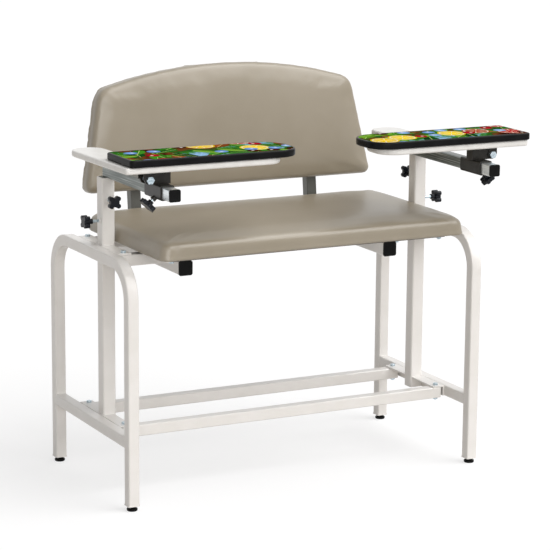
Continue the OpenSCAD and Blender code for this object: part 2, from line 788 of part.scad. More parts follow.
module hinge_bolt_left() { on_side(-1) hinge_bolt(); }
module hinge_bolt_right() { on_side(1) hinge_bolt(); }

// ---------- arm boards and pads ----------

board_over = board_l * 0.192;
board_out_x = axis_x + board_over;
board_front_y = hinge_front_y - board_d * 0.29;
board_rear_y = board_front_y + board_d;
board_nose_r = board_d * 0.46;
board_corner_r = board_t * 0.5;
tongue_fillet = tongue_w * 0.3;

// Drawn for the right arm: the nose is the rounded end towards the sitter
function board_points(out_x) = rounded(
    [[out_x - board_l, board_front_y], [out_x, board_front_y],
     [out_x, board_rear_y], [out_x - board_l, board_rear_y]],
    [board_nose_r * 0.75, board_corner_r, board_corner_r, board_nose_r], 10);

// The tongue runs back from its foot in the board and ends in a half round
module tongue(x, foot_x) {
    half = tongue_w / 2;
    foot_y = board_front_y + board_corner_r;
    end_y = board_front_y + tongue_l - half;
    polygon([[foot_x + half, foot_y], [x + half, end_y], [x - half, end_y], [foot_x - half, foot_y]]);
    translate([x, end_y]) circle(r = half, $fn = fine);
}

module arm_board(out_x, tongue_x, foot_x) {
    color("whitesmoke") translate([0, 0, board_z]) linear_extrude(board_t) {
        polygon(board_points(out_x));
        tongue(tongue_x, foot_x);
    }
}

// The left board's tongue carries its outer end straight on, a little splayed; the
// right one's stands further in
board_left_x = board_out_x - board_l * 0.008;
board_right_x = board_out_x + board_l * 0.008;
tongue_left_x = board_out_x + tongue_w * 0.08 - tongue_w / 2;
tongue_right_x = board_out_x - board_l * 0.56;
tongue_left_foot = board_left_x - tongue_w / 2;
module arm_board_left() { on_side(-1) arm_board(board_left_x, tongue_left_x, tongue_left_foot); }
module arm_board_right() { on_side(1) arm_board(board_right_x, tongue_right_x, tongue_right_x); }

pad_over = pad_t * 0.35;
pad_left_x = board_left_x - pad_t * 0.6;
pad_right_x = board_right_x + pad_t * 0.2;
pad_front_y = board_front_y - pad_over;
pad_edge_r = pad_t * 0.15;

function pad_points(out_x) = divided(rounded(
    [[out_x - pad_l, pad_front_y], [out_x, pad_front_y],
     [out_x, pad_front_y + pad_d], [out_x - pad_l, pad_front_y + pad_d]],
    [pad_d * 0.36, pad_t * 0.7, pad_t * 0.7, pad_d * 0.44], 8), pad_l / 4);

// The panel lies in a shallow recess in the pad's top
panel_t = pad_t * 0.05;
panel_inset = pad_t * 0.3;

module arm_pad(out_x) {
    low = board_z + board_t;
    color("black") difference() {
        padded_form(pad_points(out_x), low, [
            [pad_edge_r / 2, low], [0, low + pad_edge_r / 2], [0, low + pad_t - pad_edge_r],
            [pad_edge_r * 0.3, low + pad_t - pad_edge_r * 0.3], [pad_edge_r, low + pad_t]
        ], 0, []);
        translate([0, 0, low + pad_t - panel_t]) linear_extrude(panel_t + cut)
            polygon(inset(pad_points(out_x), panel_inset));
    }
}

module arm_pad_left() { on_side(-1) arm_pad(pad_left_x); }
module arm_pad_right() { on_side(1) arm_pad(pad_right_x); }

module pad_panel(out_x) {
    color("olivedrab") translate([0, 0, board_z + board_t + pad_t - panel_t]) linear_extrude(panel_t)
        polygon(inset(pad_points(out_x), panel_inset));
}

module pad_panel_left() { on_side(-1) pad_panel(pad_left_x); }
module pad_panel_right() { on_side(1) pad_panel(pad_right_x); }

// ---------- knobs ----------

// A four-lobed star: lobes on arms round a hub that narrows towards the stud
hub_t = star_t * 0.75;
star_lobe_d = star_d * 0.32;

module star_head(d, lobes, thick, hub_d, hub_h) {
    lobe = d * 0.32;
    translate([0, 0, hub_h]) linear_extrude(thick) {
        circle(d = d * 0.6, $fn = fine);
        for (i = [0:lobes - 1]) rotate(360 / lobes * i + 45) {
            translate([d / 2 - lobe / 2, 0]) circle(d = lobe, $fn = fine);
            translate([0, -lobe * 0.42]) square([d / 2 - lobe / 2, lobe * 0.84]);
        }
    }
    cylinder(d = hub_d, h = hub_h + thick / 2, $fn = fine);
}

stud_in = post / 2 - arm_tube / 2 - rest_gap;
stud_show_out = stud_show * 1.3;

module star_knob(show) {
    color("black") difference() {
        translate([0, 0, show]) star_head(star_d, 4, star_t, stud_d * 1.9, hub_t);
        translate([0, 0, show - cut]) cylinder(d = stud_d, h = hub_t + cut, $fn = fine);
    }
}

module star_stud(show) {
    color("silver") translate([0, 0, -stud_in]) cylinder(d = stud_d, h = stud_in + show + hub_t, $fn = fine);
}

module star_knob_upper_left() { on_side(-1) at_upper_knob(0) star_knob(stud_show); }
module star_knob_upper_right() { on_side(1) at_upper_knob(180) star_knob(stud_show); }
module star_knob_lower_left() { on_side(-1) at_lower_knob(low_left_z) star_knob(stud_show); }
module star_knob_lower_right() { on_side(1) at_lower_knob(low_right_z) star_knob(stud_show_out); }
module star_stud_upper_left() { on_side(-1) at_upper_knob(0) star_stud(stud_show); }
module star_stud_upper_right() { on_side(1) at_upper_knob(180) star_stud(stud_show); }
module star_stud_lower_left() { on_side(-1) at_lower_knob(low_left_z) star_stud(stud_show); }
module star_stud_lower_right() { on_side(1) at_lower_knob(low_right_z) star_stud(stud_show_out); }

// The clamp knob under the sleeve has seven lobes and a short hub
clamp_hub_h = clamp_t * 0.7;
clamp_at = sleeve_corner + clamp_boss_h + stud_d * 0.6;

module clamp_knob() {
    color("black") difference() {
        at_clamp(clamp_at) {
            cylinder(d = stud_d * 2, h = clamp_hub_h + clamp_t / 2, $fn = fine);
            translate([0, 0, clamp_hub_h]) linear_extrude(clamp_t) {
                circle(d = clamp_d * 0.84, $fn = fine);
                for (i = [0:6]) rotate(i * 360 / 7) translate([clamp_d * 0.38, 0])
                    circle(d = clamp_d * 0.24, $fn = fine);
            }
        }
        at_clamp(clamp_at - cut) cylinder(d = stud_d, h = clamp_hub_h + cut, $fn = fine);
    }
}

module clamp_knob_left() { on_side(-1) clamp_knob(); }
module clamp_knob_right() { on_side(1) clamp_knob(); }

module clamp_stud() {
    start = tube_corner + rest_gap;
    color("silver") at_clamp(start)
        cylinder(d = stud_d, h = clamp_at + clamp_hub_h - start, $fn = fine);
}

module clamp_stud_left() { on_side(-1) clamp_stud(); }
module clamp_stud_right() { on_side(1) clamp_stud(); }

// ---------- one line for each node ----------

side_frame_left();
side_frame_right();
angle_upper_left();
angle_upper_right();
angle_lower_left();
angle_lower_right();
seat_cross_rail_front();
seat_cross_rail_rear();
foot_rail_front();
foot_rail_rear();
leg_plates();
foot_glides();
frame_bolts();
frame_nuts();
seat_bolts();
seat_rail_left();
seat_rail_right();
seat_rail_caps();
back_upright_left();
back_upright_right();
upright_bolts();
back_screws();
seat_board();
seat_cushion();
back_board();
back_cushion();
arm_post_left();
arm_post_right();
arm_support_left();
arm_support_right();
arm_cap_left();
arm_cap_right();
slide_bracket_left();
slide_bracket_right();
hinge_bolt_left();
hinge_bolt_right();
board_hinge_left();
board_hinge_right();
arm_board_left();
arm_board_right();
arm_pad_left();
arm_pad_right();
pad_panel_left();
pad_panel_right();
clamp_knob_left();
clamp_knob_right();
clamp_stud_left();
clamp_stud_right();
star_knob_upper_left();
star_knob_upper_right();
star_knob_lower_left();
star_knob_lower_right();
star_stud_upper_left();
star_stud_upper_right();
star_stud_lower_left();
star_stud_lower_right();
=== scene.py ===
import math

import bmesh
import bpy
from mathutils import Matrix, Vector


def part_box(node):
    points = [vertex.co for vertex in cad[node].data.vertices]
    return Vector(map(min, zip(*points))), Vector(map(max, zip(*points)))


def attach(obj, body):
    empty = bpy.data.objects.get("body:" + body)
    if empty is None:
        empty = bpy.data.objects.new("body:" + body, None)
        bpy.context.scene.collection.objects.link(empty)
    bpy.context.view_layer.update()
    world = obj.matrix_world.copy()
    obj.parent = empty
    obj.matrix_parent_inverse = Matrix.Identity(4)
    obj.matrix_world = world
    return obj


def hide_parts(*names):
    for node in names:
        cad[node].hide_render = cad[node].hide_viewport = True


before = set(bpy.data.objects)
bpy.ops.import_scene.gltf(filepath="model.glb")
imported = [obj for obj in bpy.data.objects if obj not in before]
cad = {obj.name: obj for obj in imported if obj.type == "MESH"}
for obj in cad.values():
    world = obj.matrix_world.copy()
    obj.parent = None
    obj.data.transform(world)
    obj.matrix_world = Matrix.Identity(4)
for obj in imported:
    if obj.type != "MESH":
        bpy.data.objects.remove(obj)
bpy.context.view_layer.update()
scene = bpy.context.scene
scene.view_settings.view_transform = "Standard"

# ---------- studio ----------
# A white sweep of painted board with the chair on it, which reads white to the camera and keeps the
# chair's shadow. One softbox stands high at the right front, one hangs overhead and one stands low
# at the left front, in a pale room.
WHITE = (1.0, 1.0, 1.0, 1.0)
ROOM_LIGHT = 0.28
LAMP_TINT = (1.0, 0.997, 0.993)
SWEEP_REACH = 30.0
SWEEP_LIT = (0.40, 0.40, 0.405, 1.0)
SWEEP_GLOW = 0.66


def linear(hex_colour):
    """The linear colour of an #rrggbb paint chip."""
    chip = [int(hex_colour[i : i + 2], 16) / 255 for i in (1, 3, 5)]
    return [c / 12.92 if c < 0.04045 else ((c + 0.055) / 1.055) ** 2.4 for c in chip] + [1.0]


def add(tree, kind, inputs=(), stops=(), **options):
    """Adds one shader node with its options, its inputs and, on a colour ramp, its stops.

    Inputs are values for the first sockets, or map a socket's name or number to a value. A value is
    a constant, a node's output, or a node, which gives its first output. Each stop is a place from
    0 to 1 and a paint chip.
    """
    made = tree.nodes.new("ShaderNode" + kind)
    for option, value in options.items():
        setattr(made, option, value)
    for socket, value in inputs.items() if isinstance(inputs, dict) else enumerate(inputs):
        if isinstance(value, bpy.types.Node):
            value = next(output for output in value.outputs if output.enabled)
        if isinstance(value, bpy.types.NodeSocket):
            tree.links.new(value, made.inputs[socket])
        else:
            made.inputs[socket].default_value = value
    for i, (place, chip) in enumerate(stops):
        points = made.color_ramp.elements
        point = points[i] if i < 2 else points.new(place)
        point.position, point.color = place, linear(chip)
    return made


def emptied(owner):
    """The node tree of a world or a material, with nothing in it yet."""
    owner.use_nodes = True
    owner.node_tree.nodes.clear()
    return owner.node_tree


def seen_as(tree, lighting, showing):
    """One shader where the studio lights the chair, the other where it is seen or mirrored."""
    path = add(tree, "LightPath").outputs
    shine = (path["Is Glossy Ray"], path["Is Transmission Ray"])
    mirrored = add(tree, "Math", shine, operation="MAXIMUM")
    seen = add(tree, "Math", (path["Is Camera Ray"], mirrored), operation="MAXIMUM")
    return add(tree, "MixShader", (seen, lighting, showing))


room = bpy.data.worlds.new("pale_room")
scene.world = room
tree = emptied(room)
room_light = add(tree, "Background", {"Color": linear("#faf8f5"), "Strength": ROOM_LIGHT})
room_white = add(tree, "Background", {"Color": WHITE, "Strength": 1.0})
add(tree, "OutputWorld", {"Surface": seen_as(tree, room_light, room_white)})


def softbox(name, strength, width, heading):
    """A far lamp, as many degrees wide as seen from the chair, that shines along its heading."""
    lamp = bpy.data.lights.new(name, "SUN")
    lamp.energy = strength
    lamp.angle = math.radians(width)
    lamp.color = LAMP_TINT
    holder = bpy.data.objects.new(name, lamp)
    scene.collection.objects.link(holder)
    holder.rotation_mode = "QUATERNION"
    holder.rotation_quaternion = Vector(heading).to_track_quat("-Z", "Y")


softbox("high_right_softbox", strength=1.85, width=52, heading=(-0.444, 0.50, -0.73))
softbox("overhead_softbox", strength=0.55, width=42, heading=(-0.444, 0.05, -0.895))
softbox("low_left_softbox", strength=1.18, width=44, heading=(0.27, 0.94, -0.19))

sweep_paint = bpy.data.materials.new("sweep_paint")
tree = emptied(sweep_paint)
sweep_matt = add(tree, "BsdfDiffuse", {"Color": linear("#c9c4be")})
sweep_lit = add(tree, "BsdfDiffuse", {"Color": SWEEP_LIT})
sweep_glow = add(tree, "Emission", {"Color": WHITE, "Strength": SWEEP_GLOW})
sweep_white = add(tree, "AddShader", (sweep_lit, sweep_glow))
add(tree, "OutputMaterial", {"Surface": seen_as(tree, sweep_matt, sweep_white)})

bm = bmesh.new()
bmesh.ops.create_grid(bm, x_segments=2, y_segments=2, size=SWEEP_REACH)
sweep_mesh = bpy.data.meshes.new("studio_sweep")
bm.to_mesh(sweep_mesh)
bm.free()
sweep = bpy.data.objects.new("studio_sweep", sweep_mesh)
scene.collection.objects.link(sweep)
sweep_mesh.materials.append(sweep_paint)

# The camera stands at the left front, higher than the chair, and looks down on it a little through
# a long lens.
CAMERA_PLACE = (-2.96776, -5.79406, 1.95507)
AZIMUTH, ELEVATION, ROLL = (math.radians(angle) for angle in (-27.131, 12.01, 0.491))
FOCAL_PIXELS, PHOTO_PIXELS = 2318.65, 550
SENSOR = 36.0
camera = bpy.data.cameras.new("photo_camera")
camera.sensor_width = SENSOR
camera.lens = FOCAL_PIXELS * SENSOR / PHOTO_PIXELS
camera.clip_start, camera.clip_end = 0.1, 100
camera_object = bpy.data.objects.new("photo_camera", camera)
scene.collection.objects.link(camera_object)
level = math.cos(ELEVATION)
back = Vector((math.sin(AZIMUTH) * level, -math.cos(AZIMUTH) * level, math.sin(ELEVATION)))
right = (-back).cross(Vector((0, 0, 1))).normalized()
up = right.cross(-back)
tilt = Matrix.Rotation(ROLL, 3, back)
turn = Matrix((tilt @ right, tilt @ up, back)).transposed()
camera_object.matrix_world = Matrix.Translation(CAMERA_PLACE) @ turn.to_4x4()
scene.camera = camera_object

# ---------- welded steel frame ----------
# Two bent side frames of square tube, with the rails, angles, posts and seat rails that tie them.
# Mild steel, welded and powder coated off-white in one go, so that all of it has the same satin
# gloss and fine orange peel.
TUBE_ROUND = 0.0011
PEEL, PEEL_DEPTH = 0.0016, 0.00012
COAT_DRIFT = 0.07
# Points so near are one, faces so level are one, and edges so sharp are rounded
SAME_POINT = 0.00002
FLAT, SHARP = math.radians(0.5), math.radians(35)


def finish_of(name):
    """A new material with an empty node tree: both of them, and the piece's own coordinates."""
    material = bpy.data.materials.new(name)
    tree = emptied(material)
    return material, tree, add(tree, "TexCoord").outputs["Object"]


def surfaced(tree, surface):
    """Ends a finish with its Principled shader and what goes into it."""
    add(tree, "OutputMaterial", (add(tree, "BsdfPrincipled", surface),))


def both(*names):
    """The left and the right node of each name."""
    return [f"{name}_{side}" for name in names for side in ("left", "right")]


def dress(material, *names):
    """Puts one finish on whole CAD nodes or pieces."""
    for name in names:
        mesh = bpy.data.objects[name].data
        mesh.materials.clear()
        mesh.materials.append(material)


def ease(width, *names, segments=2):
    """Rounds the sharp edges of CAD nodes by that width, as a file, a tumbler or a mould does."""
    for name in names:
        piece = cad[name]
        weld = piece.modifiers.new("weld", "WELD")
        weld.merge_threshold = SAME_POINT
        flat = piece.modifiers.new("flat", "DECIMATE")
        flat.decimate_type = "DISSOLVE"
        flat.angle_limit = FLAT
        edge = piece.modifiers.new("edge", "BEVEL")
        edge.width = width
        edge.segments = segments
        edge.limit_method = "ANGLE"
        edge.angle_limit = SHARP
        edge.harden_normals = True


powder_coat, tree, where = finish_of("off_white_powder_coat")
drift = add(tree, "TexNoise", {"Vector": where, "Scale": 1 / COAT_DRIFT, "Detail": 3.0})
tint = add(tree, "ValToRGB", (drift,), stops=((0.35, "#ebe8e4"), (0.65, "#efece9")))
peel = add(tree, "TexNoise", {"Vector": where, "Scale": 1 / PEEL, "Detail": 1.0})
bump = add(tree, "Bump", {"Height": peel, "Strength": 0.25, "Distance": PEEL_DEPTH})
surface = {
    "Base Color": tint,
    "Normal": bump,
    "Roughness": 0.36,
    "Coat Weight": 0.4,
    "Coat Roughness": 0.1,
}
surfaced(tree, surface)

TUBES = [
    "foot_rail_front",
    "foot_rail_rear",
    "seat_cross_rail_front",
    "seat_cross_rail_rear",
    *both("side_frame", "arm_post", "seat_rail", "angle_upper", "angle_lower"),
]
dress(powder_coat, "leg_plates", *TUBES)
ease(TUBE_ROUND, *TUBES)

# ---------- frame fasteners ----------
# Cap screws and nuts that clamp the rails, seat, uprights and back board, and the knobs' studs.
# Rolled steel, zinc plated and blue passivated: a cool grey with a soft grain from the barrel.
BOLTS = ("frame_bolts", "seat_bolts", "upright_bolts")
BOLT_ROUND = 0.0004
# The barrel's marks are finer than a millimetre: they are drawn this coarse to show
BARREL_GRAIN = 0.004
BRIGHT, DULL = 0.25, 0.42

zinc, tree, where = finish_of("zinc_plated_steel")
barrel = add(tree, "TexNoise", {"Vector": where, "Scale": 1 / BARREL_GRAIN, "Detail": 4.0})
tint = add(tree, "ValToRGB", (barrel,), stops=((0.3, "#8fa3ae"), (0.7, "#dbe6ec")))
dulled = add(tree, "MapRange", {"Value": barrel, "To Min": BRIGHT, "To Max": DULL})
surface = {"Base Color": tint, "Roughness": dulled, "Metallic": 1.0}
surfaced(tree, surface)
dress(zinc, "frame_nuts", "back_screws", *BOLTS)
dress(zinc, *both("star_stud_upper", "star_stud_lower", "clamp_stud"))
ease(BOLT_ROUND, *BOLTS)

# ---------- glides and end caps ----------
# Foot glides under the legs and push-in caps in the open ends of the seat rails and arm tubes.
# Injection-moulded polyethylene in black, satin from the mould.
CAPS = ("seat_rail_caps", *both("arm_cap"))
CAP_ROUND = 0.0008
# The mould's grain is about 0.2 mm: it is drawn coarser to show
MOULD_GRAIN, MOULD_DEPTH = 0.0008, 0.00006
CAP_DRIFT = 0.02

cap_plastic, tree, where = finish_of("black_moulded_plastic")
drift = add(tree, "TexNoise", {"Vector": where, "Scale": 1 / CAP_DRIFT})
tint = add(tree, "ValToRGB", (drift,), stops=((0.3, "#0a0a0a"), (0.7, "#131313")))
grain = add(tree, "TexNoise", {"Vector": where, "Scale": 1 / MOULD_GRAIN})
bump = add(tree, "Bump", {"Height": grain, "Strength": 0.3, "Distance": MOULD_DEPTH})
surface = {"Base Color": tint, "Normal": bump, "Roughness": 0.38, "Specular IOR Level": 0.1}
surfaced(tree, surface)
dress(cap_plastic, "foot_glides", *CAPS)
ease(CAP_ROUND, *CAPS)

# ---------- back uprights ----------
# Two square tubes cut on the slant, bolted beside the seat rails and leaning back with the board.
# Steel in a dark warm grey powder coat, textured, so that it has little gloss.
TEXTURE, TEXTURE_DEPTH = 0.0011, 0.00012
UPRIGHT_DRIFT = 0.05

upright_paint, tree, where = finish_of("dark_grey_powder_coat")
drift = add(tree, "TexNoise", {"Vector": where, "Scale": 1 / UPRIGHT_DRIFT, "Detail": 3.0})
tint = add(tree, "ValToRGB", (drift,), stops=((0.3, "#62635e"), (0.7, "#6d6e69")))
texture = add(tree, "TexNoise", {"Vector": where, "Scale": 1 / TEXTURE})
bump = add(tree, "Bump", {"Height": texture, "Strength": 0.35, "Distance": TEXTURE_DEPTH})
surface = {"Base Color": tint, "Normal": bump, "Roughness": 0.42}
surfaced(tree, surface)
dress(upright_paint, *both("back_upright"))
ease(TUBE_ROUND, *both("back_upright"))

# ---------- seat and back boards ----------
# The boards that the foam is glued to: birch plywood, sawn and sealed with a dark brown stain.
# The face grain runs across the chair and still shows through the stain.
VEIN_DEPTH = 0.0002
# The veins, 56 mm long and 2.8 mm wide, as counts to the metre
VEINS = (18.0, 360.0, 360.0)

plywood, tree, where = finish_of("dark_sealed_plywood")
veins = add(tree, "Mapping", {"Vector": where, "Scale": VEINS})
pattern = {"Vector": veins, "Scale": 1.0, "Detail": 6.0, "Distortion": 0.6}
veneer = add(tree, "TexNoise", pattern)
tint = add(tree, "ValToRGB", (veneer,), stops=((0.0, "#3b342b"), (1.0, "#574d40")))
bump = add(tree, "Bump", {"Height": veneer, "Strength": 0.2, "Distance": VEIN_DEPTH})
surface = {"Base Color": tint, "Normal": bump, "Roughness": 0.7}
surfaced(tree, surface)
dress(plywood, "seat_board", "back_board")

# ---------- seat and back cushions ----------
# Slabs of firm foam glued to the boards and wrapped in one piece of taupe vinyl, stapled below.
# The vinyl is pulled tight: soft rolled edges, no seams on the faces, a soft sheen and a fine
# embossed grain.
PEBBLE, PEBBLE_DEPTH = 0.0011, 0.00012
WAVE, WAVE_DEPTH = 0.05, 0.0015
VINYL_DRIFT = 0.16
# The cushions' cells, the swell of their foam and the frames that it takes to swell
CELL = 0.0075
SWELL = 0.003
PUMPING = 20
# The height of the seat's hem, and how far a face turns to the rear where it lies on the back board
HEM = 0.010
REARWARD = 0.8
# The radius of the seat's upright corners in foam, and as the vinyl is folded round them
FOAM_CORNER, VINYL_CORNER = 0.050, 0.028

vinyl, tree, where = finish_of("taupe_upholstery_vinyl")
drift = add(tree, "TexNoise", {"Vector": where, "Scale": 1 / VINYL_DRIFT, "Detail": 3.0})
tint = add(tree, "ValToRGB", (drift,), stops=((0.3, "#928876"), (0.7, "#9a907f")))
pebble = add(tree, "TexVoronoi", {"Vector": where, "Scale": 1 / PEBBLE}, feature="SMOOTH_F1")
wave = add(tree, "TexNoise", {"Vector": where, "Scale": 1 / WAVE})
grained = add(tree, "Bump", {"Height": pebble, "Strength": 0.25, "Distance": PEBBLE_DEPTH})
waved = {"Height": wave, "Strength": 0.2, "Distance": WAVE_DEPTH, "Normal": grained}
bump = add(tree, "Bump", waved)
surface = {"Base Color": tint, "Normal": bump, "Roughness": 0.33, "Specular IOR Level": 0.8}
surfaced(tree, surface)


def square(points, lo, hi, wide, tight):
    """Draws a slab's upright corners out from a wide round to a tight one, like folded vinyl."""
    middle, half = (lo + hi) / 2, (hi - lo) / 2
    inner = wide - tight
    for v in points:
        dx = abs(v.co.x - middle.x) - half.x + wide
        dy = abs(v.co.y - middle.y) - half.y + wide
        if dx <= 0 or dy <= 0:
            continue
        reach = math.hypot(dx, dy)
        ux, uy = dx / reach, dy / reach
        if wide * min(ux, uy) / max(ux, uy) < inner:
            edge = wide / max(ux, uy)
        else:
            along = inner * (ux + uy)
            edge = along + math.sqrt(max(0.0, along**2 - 2 * inner**2 + tight**2))
        grow = (edge / wide - 1) * min(1.0, reach / wide)
        v.co.x += math.copysign(dx * grow, v.co.x - middle.x)
        v.co.y += math.copysign(dy * grow, v.co.y - middle.y)


def in_cells(name, node):
    """A new piece with a CAD node's form, remeshed in even cells."""
    mesh = cad[node].data.copy()
    mesh.name = name
    piece = bpy.data.objects.new(name, mesh)
    scene.collection.objects.link(piece)
    bm = bmesh.new()
    bm.from_mesh(mesh)
    bmesh.ops.remove_doubles(bm, verts=bm.verts, dist=SAME_POINT)
    bmesh.ops.recalc_face_normals(bm, faces=bm.faces)
    bm.to_mesh(mesh)
    bm.free()
    skin = piece.modifiers.new("skin", "REMESH")
    skin.mode = "VOXEL"
    skin.voxel_size = CELL
    skin.use_smooth_shade = True
    bpy.context.view_layer.update()
    skinned = piece.evaluated_get(bpy.context.evaluated_depsgraph_get())
    piece_mesh = bpy.data.meshes.new_from_object(skinned)
    piece.modifiers.clear()
    piece.data = piece_mesh
    piece_mesh.name = name
    return piece


def pump(piece, stapled):
    """Swells a cushion by cloth pressure with some points held, and moves none beyond SWELL."""
    rest = [v.co.copy() for v in piece.data.vertices]
    staples = piece.vertex_groups.new(name="staples")
    staples.add(stapled, 1.0, "REPLACE")
    cloth = piece.modifiers.new("cloth", "CLOTH")
    cloth.settings.quality = 5
    cloth.settings.mass = 0.4
    cloth.settings.use_pressure = True
    cloth.settings.uniform_pressure_force = 4.0
    cloth.settings.vertex_group_mass = "staples"
    cloth.settings.effector_weights.gravity = 0.0
    cloth.point_cache.frame_start, cloth.point_cache.frame_end = 1, PUMPING
    for step in range(1, PUMPING + 1):
        scene.frame_set(step)
    blown = piece.evaluated_get(bpy.context.evaluated_depsgraph_get()).data
    for v, start, end in zip(piece.data.vertices, rest, [w.co.copy() for w in blown.vertices]):
        move = end - start
        v.co = start + (move * (SWELL / move.length) if move.length > SWELL else move)
    piece.modifiers.clear()
    piece.vertex_groups.clear()
    scene.frame_set(1)


def stuffed(name, node, evening, tuck, held, corner=None):
    """A cushion from its CAD form, evened so many times, drawn in by a tuck and then pumped up.

    held(place, normal) says which of its points are stapled or rest on the board. corner is the
    foam's corner radius and the vinyl's.
    """
    piece = in_cells(name, node)
    mesh = piece.data
    bm = bmesh.new()
    bm.from_mesh(mesh)
    bm.normal_update()
    pinned = [held(v.co, v.normal) for v in bm.verts]
    free = [v for v in bm.verts if not pinned[v.index]]
    for _ in range(evening):
        bmesh.ops.smooth_vert(
            bm, verts=free, factor=0.5, use_axis_x=True, use_axis_y=True, use_axis_z=True
        )
    if corner:
        square(bm.verts, *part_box(node), *corner)
    bm.normal_update()
    for v in free:
        v.co -= v.normal * tuck
    bm.to_mesh(mesh)
    bm.free()
    pump(piece, [i for i, is_pinned in enumerate(pinned) if is_pinned])
    soft = piece.modifiers.new("soft", "SUBSURF")
    soft.levels = soft.render_levels = 1
    mesh.polygons.foreach_set("use_smooth", [True] * len(mesh.polygons))
    dress(vinyl, name)
    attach(piece, "chair_frame")
    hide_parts(node)


# Evening shrinks the seat more than it swells, so its tuck lets it out
seat_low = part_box("seat_cushion")[0].z
stuffed(
    "seat_cushion_vinyl",
    "seat_cushion",
    evening=26,
    tuck=-0.0012,
    held=lambda place, normal: place.z < seat_low + HEM,
    corner=(FOAM_CORNER, VINYL_CORNER),
)
stuffed(
    "back_cushion_vinyl",
    "back_cushion",
    evening=4,
    tuck=0.0008,
    held=lambda place, normal: normal.y > REARWARD,
)

# ---------- sliding arm supports ----------
# A stem in each post and an arm running forward from its top: square tube, welded at the corner.
# Drawn steel left grey and streaked along its length. It is polished at the free end in front of
# the sleeve, and painted near white there: a painted reflection on the polish.
SUPPORT_ROUND = 0.0008
STREAK_DEPTH = 0.0001
# The streaks, 170 mm long and 3 mm wide, as counts to the metre
STREAKS = (320.0, 6.0, 320.0)
# Where the polished end's painted reflection starts and where it is full, from the sleeve's front
BRIGHT_END_START, BRIGHT_END_FULL = 0.004, -0.002

arm_steel, tree, where = finish_of("drawn_steel_tube")
drawn = add(tree, "Mapping", {"Vector": where, "Scale": STREAKS})
streak = add(tree, "TexNoise", {"Vector": drawn, "Scale": 1.0, "Detail": 3.0})
left_grey = ((0.30, "#4c524f"), (0.55, "#757a77"), (0.72, "#b4b7b4"))
grey = add(tree, "ValToRGB", (streak,), stops=left_grey)
# The near-white colour of the painted reflection on the polished free end
bright = add(tree, "ValToRGB", (streak,), stops=((0.30, "#d3dadd"), (0.7, "#f2f5f6")))
along = add(tree, "SeparateXYZ", (where,)).outputs["Y"]
sleeve_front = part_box("slide_bracket_left")[0].y
# The free end in front of the sleeve is painted near white as a painted reflection on the polish
reach = (along, sleeve_front + BRIGHT_END_START, sleeve_front + BRIGHT_END_FULL)
polish_and_reflection = add(tree, "MapRange", reach)
# Sockets 6 and 7 of a Mix node are its two colours
tint = add(tree, "Mix", {0: polish_and_reflection, 6: grey, 7: bright}, data_type="RGBA")
bump = add(tree, "Bump", {"Height": streak, "Strength": 0.2, "Distance": STREAK_DEPTH})
surface = {"Base Color": tint, "Normal": bump, "Roughness": 0.34, "Metallic": 0.9}
surfaced(tree, surface)
dress(arm_steel, *both("arm_support"))
ease(SUPPORT_ROUND, *both("arm_support"))

# ---------- sliding sleeves and flip-up hinges ----------
# A sleeve folded round each arm tube, with ears that carry the board's hinge on one cross bolt.
# Bent and welded steel plate in semi-gloss bronze-black enamel, which dries with a slight ripple.
PLATE_ROUND, HINGE_BOLT_ROUND = 0.0010, 0.0006
RIPPLE, RIPPLE_DEPTH = 0.003, 0.0002
ENAMEL_DRIFT = 0.03

enamel, tree, where = finish_of("bronze_black_enamel")
drift = add(tree, "TexNoise", {"Vector": where, "Scale": 1 / ENAMEL_DRIFT, "Detail": 3.0})
tint = add(tree, "ValToRGB", (drift,), stops=((0.3, "#1f1d19"), (0.7, "#2d2b27")))
ripple = add(tree, "TexNoise", {"Vector": where, "Scale": 1 / RIPPLE})
bump = add(tree, "Bump", {"Height": ripple, "Strength": 0.3, "Distance": RIPPLE_DEPTH})
surface = {"Base Color": tint, "Normal": bump, "Roughness": 0.28, "Specular IOR Level": 0.25}
surfaced(tree, surface)
dress(enamel, *both("slide_bracket", "board_hinge"))
dress(zinc, *both("hinge_bolt"))
ease(PLATE_ROUND, *both("slide_bracket", "board_hinge"))
ease(HINGE_BOLT_ROUND, *both("hinge_bolt"))

# ---------- clamp and post knobs ----------
# Four-lobed star knobs on the posts and a larger one under each sleeve, moulded over their studs.
# Glass-filled nylon, black with a faint blue cast: glossy lobes with the flow of the glass in them.
KNOBS = both("star_knob_upper", "star_knob_lower", "clamp_knob")
KNOB_ROUND = 0.0014
FLOW, FLOW_DEPTH = 0.006, 0.0002

knob_nylon, tree, where = finish_of("black_knob_nylon")
flow = add(tree, "TexNoise", {"Vector": where, "Scale": 1 / FLOW, "Detail": 3.0})
tint = add(tree, "ValToRGB", (flow,), stops=((0.3, "#0b0e13"), (0.7, "#171b24")))
bump = add(tree, "Bump", {"Height": flow, "Strength": 0.2, "Distance": FLOW_DEPTH})
surface = {"Base Color": tint, "Normal": bump, "Roughness": 0.26, "Specular IOR Level": 0.2}
surfaced(tree, surface)
dress(knob_nylon, *KNOBS)
ease(KNOB_ROUND, *KNOBS)

# ---------- arm boards ----------
# One board per side with a tongue that runs back over the post: 18 mm board, laminated all over.
# White high-pressure laminate with a smooth satin face, wrapped round a bullnosed edge.
BULLNOSE, BULLNOSE_STEPS = 0.006, 5
# The press plate's grain is about 0.1 mm: it is drawn coarser to show
SATIN, SATIN_DEPTH = 0.0005, 0.00003
LAMINATE_DRIFT = 0.02

